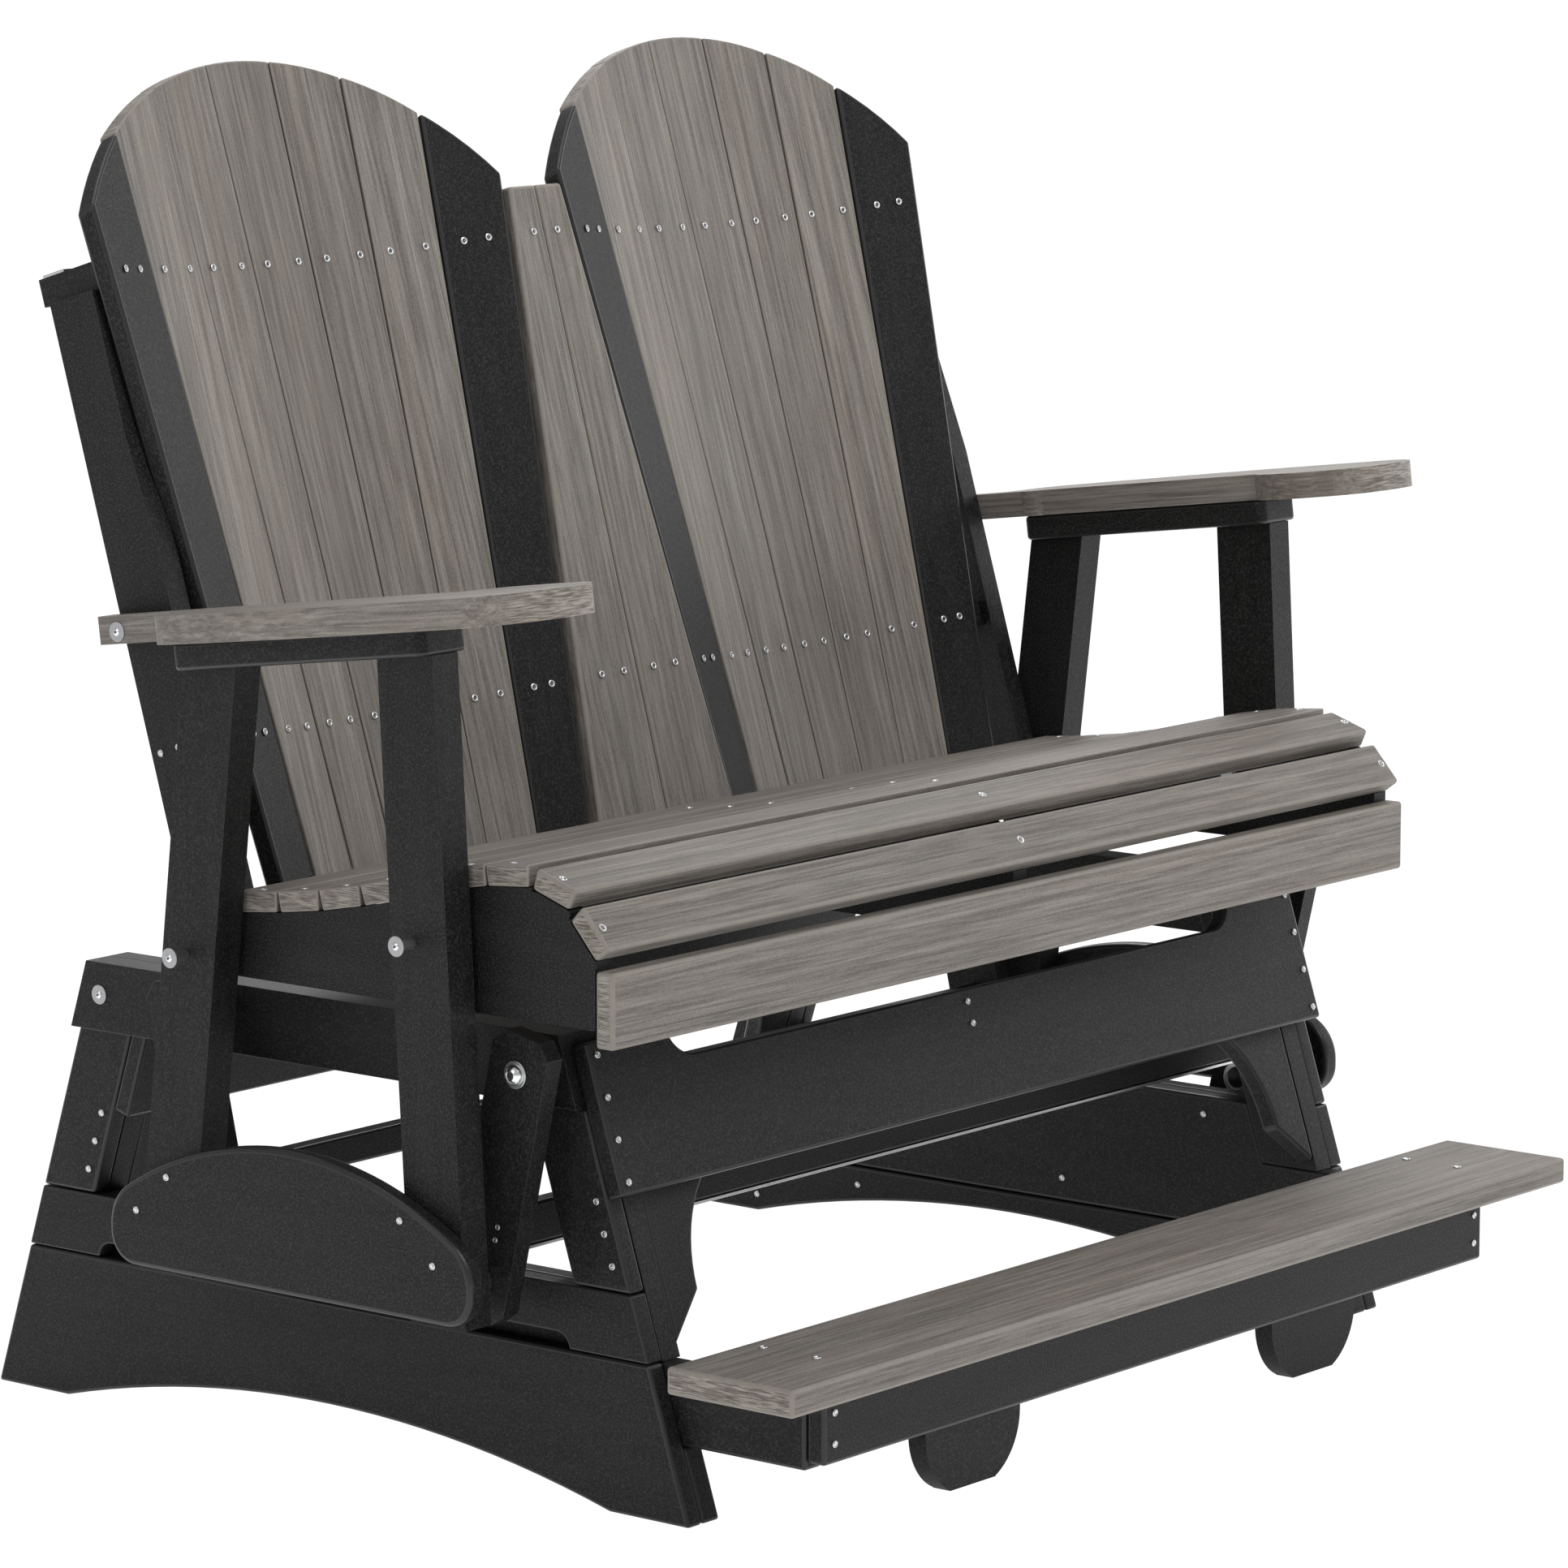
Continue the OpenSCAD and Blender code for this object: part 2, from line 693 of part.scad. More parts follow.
// Two tapered boards between the backs
module back_fillers() {
    k = (back_n - 1) / 2;
    function turn(w) = slat_angle(k, pitch_low + (pitch_high - pitch_low) * w / row_gap);
    function inner(w) = back_x - slat_half(w) * cos(turn(w)) - back_r * sin(turn(w)) - 7;
    top = row_gap + 46;
    color(driftwood) back_frame() for (s = [-1, 1])
        translate([0, -41, 0]) rotate([1.2, 0, 0]) rotate([90, 0, 0]) translate([0, 0, -thin_t + 0.5])
            linear_extrude(thin_t - 0.5) polygon([
                [s * 0.8, slat_low], [s * inner(slat_low), slat_low],
                [s * inner(top), top], [s * 0.8, top]]);
}

// Cross rail whose front edge is cut to the rear faces of both backs
module cross_rail(w, half_x) {
    k = (back_n - 1) / 2;
    difference() {
        back_frame() translate([-half_x, -20, w - 13]) cube([2 * half_x, 72, 26]);
        for (s = [-1, 1], i = [-k:k]) back_frame() translate([s * back_x, 0, 0]) slat_plane(i)
            translate([0, 0, -thin_t + 0.35]) linear_extrude(90) slat_outline(1.5);
    }
}

module upper_cross_rail() {
    color(black) cross_rail(row_gap, cross_x);
}

module lower_cross_rail() {
    color(black) cross_rail(0, upright_x - 0.3);
}

// Upright of the backs at x: v0 to v1 in depth, set back to v2 where the slats cross it
module upright(x, v0, v1, v2) {
    back_frame() translate([x, 0, 0]) rotate([90, 0, 90]) linear_extrude(thick_t)
        polygon([[v0, -200], [v1, -200], [v1, row_gap - 13.3], [v2, row_gap - 13.3],
                 [v2, row_gap / 2 + 72], [v0, row_gap / 2 - 48]]);
}

// Outer upright, lapped over the inner face of the seat rail
module upright_side() {
    color(black) difference() {
        upright(upright_x, -31, 35, -21.5);
        translate([seat_rail_x - 0.1, back_y - 220, rail_z - 40])
            cube([100, 300, seat_rear_z - thin_t - rail_z + 40]);
        back_frame() translate([back_x, 0, 0]) slat_plane((back_n - 1) / 2)
            translate([0, 0, -thin_t + 0.35]) linear_extrude(90) slat_outline(1.5);
        for (p = [arm_bolt_at, seat_bolts_at[1]])
            translate([0, p[0], p[1]]) pivot_bolt(upright_x - 1, upright_x + 99, seat_bolt_d / 2);
    }
}

// Centre upright, in two lengths above and below the lower cross rail
module upright_centre() {
    color(black) difference() {
        upright(-thick_t / 2, -17, 50, -17);
        back_frame() translate([-thick_t, -60, -13.3]) cube([2 * thick_t, 200, 26.6]);
        translate([-thin_t / 2 - 0.1, back_y - 220, 0])
            cube([thin_t + 0.2, 300, seat_rear_z - thin_t]);
    }
}

module cross_rail_strips() {
    color(steel) back_frame() {
        translate([-cross_x + 4, 22, row_gap + 13.2]) cube([2 * cross_x - 8, 28, 3]);
        for (x = [-upright_x - thick_t + 3, upright_x + 3]) translate([x, 35.2, row_gap - 56])
            cube([18, 3, 40]);
        translate([-9, 50.2, row_gap - 56]) cube([18, 3, 40]);
    }
}

/* ---- Fasteners of the seat ---- */

module back_screw_row(pitch, w) {
    k = (back_n - 1) / 2;
    for (i = [-k:k]) let (a = slat_angle(i, pitch), d = abs(i) == k ? 14 : 21.2)
        translate([back_r * sin(a), back_r * (cos(a) - 1), w]) rotate([0, 0, -a])
            for (x = [-d, d] * (w == 0 ? 0.74 : 1))
                translate([x, -0.6, 0]) rotate([0, 0, -90]) screw(3.6, 1.2);
}

module seat_screws() {
    n = len(slopes);
    color(steel) {
        for (s = [-1, 1]) translate([s * back_x, 0, 0]) back_frame() {
            back_screw_row(pitch_low, 0);
            back_screw_row(pitch_high, row_gap);
        }
        back_frame() for (s = [-1, 1]) {
            translate([s * 17.4, -50.4, row_gap]) rotate([0, 0, -90]) screw(3.6, 1.2);
            for (x = [22.3, 55.3])
                translate([s * x, -41.6, 0]) rotate([0, 0, -90]) screw(3.6, 1.2);
        }
        for (s = [-1, 1], p = [[back_y + 21.7, back_z - 6.6], [back_y - 0.5, back_z + 1.1]])
            translate([s * (upright_x + thick_t + 0.2), p[0], p[1]])
                rotate([0, 0, s > 0 ? 0 : 180]) screw(4, 1.2);
        for (x = [-slat_end_x + 10, 0, slat_end_x - 10], i = [0:n - 1])
            translate([x, start(i)[0], start(i)[1]]) rotate([-slopes[i], 0, 0])
                translate([0, -width(i) / 2, 0.1]) rotate([0, -90, 0]) screw(4, 0.6);
        for (s = [-1, 1], p = [[low_y + 16.7, 28.6], [low_y - 21.7, 64]], e = [-1, 1])
            translate([s * (moon_x + thin_t - 0.35), swing_y + 4.5 + e * p[0], low_z + p[1]])
                rotate([0, 0, s > 0 ? 0 : 180]) screw(4, 1.2);
    }
}

module seat_bolt_side() {
    for (i = [0, 1]) let (in_x = i == 0 ? seat_rail_x : upright_x)
        translate([0, seat_bolts_at[i][0], seat_bolts_at[i][1]]) {
            pivot_bolt(in_x - 6, moon_x + 5, seat_bolt_d / 2);
            pivot_bolt(moon_x + 0.15, moon_x + 2, 9.3);
            pivot_bolt(in_x - 6, in_x - 0.15, 9);
        }
    translate([0, arm_bolt_at[0], arm_bolt_at[1]]) {
        pivot_bolt(upright_x - 6, upright_x + thick_t + 26, seat_bolt_d / 2);
        pivot_bolt(upright_x + thick_t + 22.1, upright_x + thick_t + 24, 9.3);
        pivot_bolt(upright_x - 6, upright_x - 0.15, 9);
    }
}

module seat_bolts() {
    color(steel) {
        seat_bolt_side();
        on_left() seat_bolt_side();
    }
}

module bottom_pivot_side() {
    for (s = [-1, 1]) translate([0, swing_y + s * low_y, low_z]) {
        pivot_bolt(hanger_x - 4, moon_x - 4);
        pivot_bolt(hanger_x - 4, hanger_x - 0.3, 17);
        pivot_bolt(hanger_x - 9, hanger_x - 4, 11);
        pivot_bolt(hanger_x + thin_t + 0.3, post_x - 0.15, 15);
    }
}

module bottom_pivot_bolts() {
    color(steel) {
        bottom_pivot_side();
        on_left() bottom_pivot_side();
    }
}

translate([0, footrest_reach / 2, 0]) {
    on_left() skirt();  // skirt_left
    skirt();  // skirt_right
    on_left() mid_board();  // mid_board_left
    mid_board();  // mid_board_right
    on_left() leg_caps();  // leg_caps_left
    leg_caps();  // leg_caps_right
    on_left() top_rail();  // top_rail_left
    top_rail();  // top_rail_right
    on_left() side_panel();  // side_panel_left
    side_panel();  // side_panel_right
    on_left() inner_skirt();  // inner_skirt_left
    inner_skirt();  // inner_skirt_right
    on_left() inner_legs();  // inner_legs_left
    inner_legs();  // inner_legs_right
    front_beam();
    rear_beam();
    on_left() gusset();  // gusset_left
    gusset();  // gusset_right
    footrest_fascia();
    footrest_board();
    footrest_stringer();
    footrest_feet();
    base_screws();
    top_pivot_bolts();
    on_left() hanger(-1, bolt_d + 0.1);  // hanger_front_left
    hanger(-1, bolt_d + 0.1);  // hanger_front_right
    front_stretcher();
    front_stretcher_strip();
    on_left() hanger(1, bolt_d + 5);  // hanger_rear_left
    hanger(1, bolt_d + 5);  // hanger_rear_right
    rear_stretcher();
    on_left() seat_rail();  // seat_rail_left
    seat_rail();  // seat_rail_right
    seat_rail_centre();
    seat_slats();
    roll_slats();
    apron();
    on_left() post_front();  // post_front_left
    post_front();  // post_front_right
    on_left() post_rear();  // post_rear_left
    post_rear();  // post_rear_right
    on_left() half_moon();  // half_moon_left
    half_moon();  // half_moon_right
    on_left() arm_support();  // arm_support_left
    arm_support();  // arm_support_right
    on_left() arm();  // arm_left
    arm();  // arm_right
    on_left() upright_side();  // upright_left
    upright_centre();
    upright_side();  // upright_right
    upper_cross_rail();
    lower_cross_rail();
    cross_rail_strips();
    translate([-2 * back_x, 0, 0]) back_slats();  // back_slats_left
    back_slats();  // back_slats_right
    back_edge_slats();
    back_fillers();
    seat_screws();
    seat_bolts();
    bottom_pivot_bolts();
}
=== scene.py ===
"""Looks of the double glider bench: eased lumber boards, detailed fasteners, floor, light and camera."""
import json
import math

import bmesh
import bpy
import numpy as np
from mathutils import Matrix, Vector


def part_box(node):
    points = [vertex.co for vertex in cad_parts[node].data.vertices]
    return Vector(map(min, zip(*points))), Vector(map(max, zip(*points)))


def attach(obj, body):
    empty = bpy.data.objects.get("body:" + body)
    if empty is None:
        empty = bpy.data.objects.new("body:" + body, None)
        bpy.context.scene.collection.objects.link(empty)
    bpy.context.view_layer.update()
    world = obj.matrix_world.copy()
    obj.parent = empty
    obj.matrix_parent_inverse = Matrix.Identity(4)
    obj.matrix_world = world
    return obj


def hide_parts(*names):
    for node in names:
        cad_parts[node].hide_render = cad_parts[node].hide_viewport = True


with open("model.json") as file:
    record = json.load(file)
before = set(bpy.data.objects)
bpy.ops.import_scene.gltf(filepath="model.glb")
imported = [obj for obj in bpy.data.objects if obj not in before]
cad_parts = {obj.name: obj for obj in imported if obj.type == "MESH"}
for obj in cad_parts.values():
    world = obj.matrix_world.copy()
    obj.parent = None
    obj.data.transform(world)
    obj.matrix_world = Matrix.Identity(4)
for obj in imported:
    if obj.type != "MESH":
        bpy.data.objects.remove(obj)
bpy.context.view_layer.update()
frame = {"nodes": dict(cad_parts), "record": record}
nodes = frame["nodes"]
scene = bpy.context.scene

# ---- camera ----
cam_data = bpy.data.cameras.new("camera")
cam = bpy.data.objects.new("camera", cam_data)
scene.collection.objects.link(cam)
cam_data.sensor_width = 36.0
cam_data.lens = 153.6
cam_data.clip_start, cam_data.clip_end = 0.1, 100
cam.location = (-4.9210, -3.9957, 1.5566)
cam.rotation_euler = (math.radians(90 - 8.908), 0, math.radians(-51.026))
scene.camera = cam


# ---- materials ----
class Nodes:
    """Short way to build a shader's node tree."""

    def __init__(self, name):
        self.m = bpy.data.materials.new(name)
        self.m.use_nodes = True
        self.t = self.m.node_tree
        self.bsdf = self.t.nodes["Principled BSDF"]

    def add(self, kind, **props):
        n = self.t.nodes.new(kind)
        for k, v in props.items():
            setattr(n, k, v)
        return n

    def put(self, socket, value):
        if hasattr(value, "links"):
            self.t.links.new(value, socket)
        else:
            socket.default_value = value

    def math(self, op, a, b=0.0, c=None):
        n = self.add("ShaderNodeMath", operation=op)
        self.put(n.inputs[0], a)
        self.put(n.inputs[1], b)
        if c is not None:
            self.put(n.inputs[2], c)
        return n.outputs[0]

    def vec(self, op, a, b=(0, 0, 0)):
        n = self.add("ShaderNodeVectorMath", operation=op)
        self.put(n.inputs[0], a)
        self.put(n.inputs[1], b)
        return n.outputs["Value"] if op in ("DOT_PRODUCT", "LENGTH") else n.outputs[0]

    def noise(self, co, scale, detail=4.0, rough=0.6, distortion=0.0):
        n = self.add("ShaderNodeTexNoise")
        self.put(n.inputs["Vector"], co)
        self.put(n.inputs["Scale"], scale)
        self.put(n.inputs["Detail"], detail)
        self.put(n.inputs["Roughness"], rough)
        self.put(n.inputs["Distortion"], distortion)
        return n.outputs["Fac"]

    def ramp(self, fac, stops):
        n = self.add("ShaderNodeValToRGB")
        e = n.color_ramp.elements
        while len(e) < len(stops):
            e.new(0.5)
        for el, (pos, col) in zip(e, stops):
            el.position = pos
            el.color = (*col, 1) if hasattr(col, "__len__") else (col, col, col, 1)
        self.put(n.inputs[0], fac)
        return n.outputs[0]

    def mix(self, fac, a, b, blend="MIX"):
        n = self.add("ShaderNodeMix", data_type="RGBA", blend_type=blend)
        self.put(n.inputs[0], fac)
        for s, v in ((n.inputs[6], a), (n.inputs[7], b)):
            self.put(s, (*v, 1) if isinstance(v, tuple) and len(v) == 3 else v)
        return n.outputs[2]

    def bump(self, height, strength, distance, normal=None):
        n = self.add("ShaderNodeBump")
        self.put(n.inputs["Height"], height)
        n.inputs["Strength"].default_value = strength
        n.inputs["Distance"].default_value = distance
        if normal is not None:
            self.put(n.inputs["Normal"], normal)
        return n.outputs[0]


def grain_space(k, axis, seed):
    """Coordinates with the grain along x and across it y and z, shifted on each separate board."""
    u = Vector(axis).normalized()
    helper = Vector((0, 0, 1)) if abs(u.z) < 0.7 else Vector((1, 0, 0))
    v = u.cross(helper).normalized()
    w = u.cross(v)
    obj = k.add("ShaderNodeTexCoord").outputs["Object"]
    comb = k.add("ShaderNodeCombineXYZ")
    for i, d in enumerate((u, v, w)):
        k.put(comb.inputs[i], k.vec("DOT_PRODUCT", obj, tuple(d)))
    island = k.add("ShaderNodeNewGeometry").outputs["Random Per Island"]
    shift = k.add("ShaderNodeCombineXYZ")
    k.put(shift.inputs[0], k.math("MULTIPLY_ADD", island, 37.0, seed))
    k.put(shift.inputs[1], k.math("MULTIPLY_ADD", island, 11.0, seed * 0.37))
    k.put(shift.inputs[2], k.math("MULTIPLY_ADD", island, 5.0, seed * 0.61))
    return k.vec("ADD", comb.outputs[0], shift.outputs[0]), island, tuple(u)


def grey_lumber(name, axis, seed):
    """Weathered grey-brown plastic lumber: embossed streaks along the board, layered ends."""
    k = Nodes(name)
    co, island, u = grain_space(k, axis, seed)
    long_ = k.noise(k.vec("MULTIPLY", co, (3.0, 130, 130)), 1.0, 7, 0.66, 0.3)
    fine = k.noise(k.vec("MULTIPLY", co, (14, 480, 480)), 1.0, 4, 0.7)
    broad = k.noise(k.vec("MULTIPLY", co, (1.4, 26, 26)), 1.0, 3, 0.5)
    grit = k.noise(k.vec("MULTIPLY", co, (520, 1100, 1100)), 1.0, 2, 0.6)
    base = k.ramp(long_, [(0.38, (0.046, 0.035, 0.027)), (0.46, (0.108, 0.088, 0.071)),
                          (0.54, (0.186, 0.160, 0.134)), (0.64, (0.300, 0.274, 0.244))])
    base = k.mix(0.50, base, k.ramp(fine, [(0.40, (0.050, 0.039, 0.031)), (0.60, (0.285, 0.258, 0.230))]))
    veins = k.noise(k.vec("MULTIPLY", co, (3.0, 240, 240)), 1.0, 3, 0.55, 0.3)
    base = k.mix(k.ramp(veins, [(0.58, 0.0), (0.66, 0.75)]), base, (0.040, 0.030, 0.023))
    base = k.mix(k.ramp(veins, [(0.32, 0.55), (0.40, 0.0)]), base, (0.330, 0.305, 0.280))
    base = k.mix(0.30, base, k.ramp(broad, [(0.35, (0.118, 0.112, 0.106)), (0.65, (0.205, 0.168, 0.130))]))
    base = k.mix(0.16, base, k.ramp(grit, [(0.36, 0.04), (0.64, 0.34)]))
    base = k.mix(1.0, base, k.ramp(island, [(0.0, 0.92), (1.0, 1.08)]), "MULTIPLY")
    # cut ends: paler, with thin layers
    nrm = k.add("ShaderNodeNewGeometry").outputs["Normal"]
    local = k.add("ShaderNodeVectorTransform", vector_type="NORMAL",
                  convert_from="WORLD", convert_to="OBJECT")
    k.put(local.inputs[0], nrm)
    end = k.math("ABSOLUTE", k.vec("DOT_PRODUCT", local.outputs[0], u))
    end = k.ramp(end, [(0.6, 0.0), (0.8, 1.0)])
    layers = k.noise(k.vec("MULTIPLY", co, (30, 60, 900)), 1.0, 3, 0.6)
    cut = k.ramp(layers, [(0.38, (0.078, 0.064, 0.052)), (0.50, (0.185, 0.162, 0.140)),
                          (0.62, (0.330, 0.304, 0.274))])
    k.put(k.bsdf.inputs["Base Color"], k.mix(k.math("MULTIPLY", end, 0.8), base, cut))
    k.put(k.bsdf.inputs["Roughness"], k.math("MULTIPLY_ADD", fine, 0.25, 0.44))
    k.bsdf.inputs["Specular IOR Level"].default_value = 0.40
    h = k.bump(k.math("ADD", long_, k.math("MULTIPLY", veins, 0.5)), 0.50, 0.0010)
    h = k.bump(fine, 0.40, 0.0005, h)
    k.put(k.bsdf.inputs["Normal"], k.bump(grit, 0.2, 0.0002, h))
    return k.m


def black_lumber(name, axis, seed):
    """Black plastic lumber: faint pale speckle, fine pebbled skin and a soft sheen."""
    k = Nodes(name)
    co, island, u = grain_space(k, axis, seed)
    pebble = k.noise(k.vec("MULTIPLY", co, (620, 760, 760)), 1.0, 3, 0.6)
    dust = k.noise(k.vec("MULTIPLY", co, (430, 520, 520)), 1.0, 3, 0.8)
    drift = k.noise(k.vec("MULTIPLY", co, (6, 60, 60)), 1.0, 4, 0.6)
    base = k.ramp(drift, [(0.36, (0.0040, 0.0040, 0.0042)), (0.64, (0.0080, 0.0080, 0.0082))])
    base = k.mix(k.ramp(dust, [(0.50, 0.0), (0.60, 0.85)]), base, (0.036, 0.035, 0.034))
    base = k.mix(1.0, base, k.ramp(island, [(0.0, 0.90), (1.0, 1.10)]), "MULTIPLY")
    k.put(k.bsdf.inputs["Base Color"], base)
    k.put(k.bsdf.inputs["Roughness"], k.math("MULTIPLY_ADD", pebble, 0.26, 0.34))
    k.bsdf.inputs["Specular IOR Level"].default_value = 0.18
    h = k.bump(drift, 0.12, 0.0006)
    h = k.bump(pebble, 0.8, 0.0005, h)
    k.put(k.bsdf.inputs["Normal"], h)
    return k.m


def painted_edge_highlight(name, lo, hi, rough, spec):
    """A painted highlight for a board's eased edges: a colour a shade lighter than its faces, patched with
    noise.
    """
    k = Nodes(name)
    co = k.add("ShaderNodeTexCoord").outputs["Object"]
    highlight_noise = k.noise(k.vec("MULTIPLY", co, (60, 60, 60)), 1.0, 5, 0.65)
    grit = k.noise(k.vec("MULTIPLY", co, (600, 600, 600)), 1.0, 3, 0.7)
    highlight_mix = k.math("MULTIPLY_ADD", grit, 0.5, k.math("MULTIPLY", highlight_noise, 0.5))
    k.put(k.bsdf.inputs["Base Color"], k.mix(highlight_mix, lo, hi))
    k.put(k.bsdf.inputs["Roughness"], k.math("MULTIPLY_ADD", grit, 0.15, rough))
    k.bsdf.inputs["Specular IOR Level"].default_value = spec
    k.put(k.bsdf.inputs["Normal"], k.bump(grit, 0.3, 0.0002))
    return k.m


def metal(name, col, rough, brushed=False):
    """Steel of one colour with faint marks, drawn out along X when it is brushed."""
    k = Nodes(name)
    co = k.add("ShaderNodeTexCoord").outputs["Object"]
    marks = k.noise(k.vec("MULTIPLY", co, (25 if brushed else 900, 900, 900)), 1.0, 4, 0.6)
    spots = k.noise(k.vec("MULTIPLY", co, (240, 240, 240)), 1.0, 3, 0.6)
    lo = tuple(c * 0.82 for c in col)
    k.put(k.bsdf.inputs["Base Color"], k.mix(spots, lo, tuple(col)))
    k.put(k.bsdf.inputs["Roughness"], k.math("MULTIPLY_ADD", marks, 0.18, rough))
    k.bsdf.inputs["Metallic"].default_value = 1.0
    k.put(k.bsdf.inputs["Normal"], k.bump(marks, 0.12, 0.0001))
    return k.m


# ---- boards ----
lean = math.radians(18)
back = math.radians(16.7)
ALONG_X = (1, 0, 0)
AXES = {
    "arm_left": (0, 1, -0.13), "arm_right": (0, 1, -0.13),
    "arm_support_left": (0, 1, -0.13), "arm_support_right": (0, 1, -0.13),
    "gusset_left": (0, math.sin(lean), math.cos(lean)), "gusset_right": (0, math.sin(lean), math.cos(lean)),
}
for n in nodes:
    if n.startswith(("back_slats", "back_edge", "back_fillers", "upright")):
        AXES[n] = (0, math.sin(back), math.cos(back))
    elif n.startswith(("post", "hanger")):
        AXES[n] = (0, 0, 1)
    elif n.startswith(("skirt", "mid_board", "top_rail", "side_panel", "inner_skirt", "half_moon")) \
            or n in ("seat_rail_left", "seat_rail_right", "seat_rail_centre"):
        AXES[n] = (0, 1, 0)
    elif n.startswith(("leg_caps", "inner_legs")):
        AXES[n] = (0, 0, 1)

slot_of = {s["node"]: s["material_slot"] for s in frame["record"]["subparts"]}
HARD = {"base_screws", "seat_screws", "seat_bolts", "top_pivot_bolts", "bottom_pivot_bolts"}
# widths of the eased edges, in metres
EASE, WIDE_EASE, SEAM_EASE, STRIP_EASE = 0.0034, 0.0048, 0.0018, 0.0006


def soften(obj, width, rim=False):
    """Eases a board's edges, keeps its faces flat and gives the rim its own material, a painted edge
    highlight.
    """
    me = obj.data
    if "custom_normal" in me.attributes:
        me.attributes.remove(me.attributes["custom_normal"])
    me.polygons.foreach_set("use_smooth", [True] * len(me.polygons))
    obj.modifiers.new("weld", "WELD").merge_threshold = 0.00002
    dec = obj.modifiers.new("flat", "DECIMATE")
    dec.decimate_type = "DISSOLVE"
    dec.angle_limit = math.radians(0.4)
    bev = obj.modifiers.new("edges", "BEVEL")
    bev.width = width
    bev.segments = 3
    bev.limit_method = "ANGLE"
    bev.angle_limit = math.radians(30)
    bev.use_clamp_overlap = True
    # the bevel faces take slot 1, the painted edge highlight
    bev.material = 1 if rim else -1
    wn = obj.modifiers.new("normals", "WEIGHTED_NORMAL")
    wn.keep_sharp = False
    wn.weight = 90


def paint(obj, *materials):
    obj.data.materials.clear()
    for m in materials:
        obj.data.materials.append(m)


# the lighter rim colours are painted highlights on the eased edges, broken up with noise
edge_highlights = {"black_lumber": painted_edge_highlight("black_painted_edge_highlight", (0.008, 0.008, 0.008), (0.026, 0.026, 0.026), 0.26, 0.38),
        "grey_lumber": painted_edge_highlight("grey_painted_edge_highlight", (0.130, 0.112, 0.094), (0.290, 0.264, 0.236), 0.45, 0.45)}
steel = metal("stainless_steel", (0.66, 0.66, 0.67), 0.26, True)
bright = metal("bright_steel", (0.80, 0.81, 0.82), 0.12)
# a dark steel that stands for the painted shade inside drive sockets
socket_shade = metal("painted_socket_shade", (0.10, 0.10, 0.105), 0.4)
for i, (n, obj) in enumerate(sorted(nodes.items())):
    if n in HARD:
        continue
    kind = slot_of[n]
    if kind == "stainless":
        soften(obj, STRIP_EASE)
        paint(obj, steel)
        continue
    axis = AXES.get(n, ALONG_X)
    ease = EASE
    if n.startswith(("half_moon", "arm_left", "arm_right")):
        ease = WIDE_EASE
    elif n in ("seat_slats", "back_slats_left", "back_slats_right"):
        ease = SEAM_EASE
    soften(obj, ease, True)
    make = grey_lumber if kind == "grey_lumber" else black_lumber
    paint(obj, make(kind + "_" + n, axis, 3.7 * i + 1.3), edge_highlights[kind])


# ---- fasteners, built where the CAD has them ----
def islands(obj):
    """Separate solids of a node, as lists of points."""
    bm = bmesh.new()
    bm.from_mesh(obj.data)
    bmesh.ops.remove_doubles(bm, verts=bm.verts, dist=0.00002)
    seen, out = set(), []
    for v in bm.verts:
        if v.index in seen:
            continue
        seen.add(v.index)
        stack, pts = [v], []
        while stack:
            x = stack.pop()
            pts.append(x.co.copy())
            for e in x.link_edges:
                y = e.other_vert(x)
                if y.index not in seen:
                    seen.add(y.index)
                    stack.append(y)
        out.append(pts)
    bm.free()
    return out


def head_of(pts):
    """(centre of the outer face, outward axis, head radius) of a screw's solid."""
    p = np.array([list(x) for x in pts])
    c = p.mean(axis=0)
    vecs = np.linalg.eigh((p - c).T @ (p - c))[1]
    # a round solid's points lie on the fewest separate levels along its own axis
    ax = min((vecs[:, q] for q in range(3)), key=lambda v: len(set(np.round((p - c) @ v, 4))))
    d = (p - c) @ ax

    def ring(at):
        q = p[abs(d - at) < 2e-4]
        return q.mean(axis=0), max(np.linalg.norm(q - q.mean(axis=0), axis=1))

    low, high = ring(d.min()), ring(d.max())
    centre, r = high if high[1] > low[1] else low
    out = ax if high[1] > low[1] else -ax
    return Vector(centre.tolist()), Vector(out.tolist()), float(r)


class Parts:
    """Turned and hexagonal solids gathered in one mesh, with a material for each."""

    def __init__(self, name, materials):
        self.name, self.bm, self.materials = name, bmesh.new(), materials

    def turned(self, at, axis, profile, mat, sides=32):
        """A solid of revolution: profile is (height along the axis, radius) in mm from base to tip."""
        q = Vector(axis).normalized().to_track_quat("Z", "X").to_matrix().to_4x4()
        place = Matrix.Translation(at) @ q
        rings = []
        for h, r in profile:
            rings.append([self.bm.verts.new(place @ Vector((
                r * math.cos(2 * math.pi * i / sides) / 1000,
                r * math.sin(2 * math.pi * i / sides) / 1000, h / 1000))) for i in range(sides)])
        faces = [self.bm.faces.new(rings[0][::-1]), self.bm.faces.new(rings[-1])]
        for a, b in zip(rings, rings[1:]):
            for i in range(sides):
                faces.append(self.bm.faces.new((a[i], a[(i + 1) % sides], b[(i + 1) % sides], b[i])))
        for f in faces:
            f.material_index = mat
            f.smooth = True

    def build(self, body, slot, *replaced):
        me = bpy.data.meshes.new(self.name)
        self.bm.to_mesh(me)
        self.bm.free()
        for m in self.materials:
            me.materials.append(m)
        me.set_sharp_from_angle(angle=math.radians(32))
        obj = bpy.data.objects.new(self.name, me)
        scene.collection.objects.link(obj)
        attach(obj, body)
        if replaced:
            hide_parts(*replaced)
        return obj


# a dished head as (height in mm, share of its radius), for a head 1.25 mm high
RING_HEAD = [(0, 0.9), (0, 1.0), (0.7, 1.0), (1.15, 0.86),
             (1.25, 0.72), (1.05, 0.60), (0.55, 0.50), (0.5, 0.45)]
RING_HEIGHT = 1.25
BLACK_HEAD_R = 3.4
# places of materials in every Parts list of fasteners
STEEL, BRIGHT, DARK, DULL = range(4)


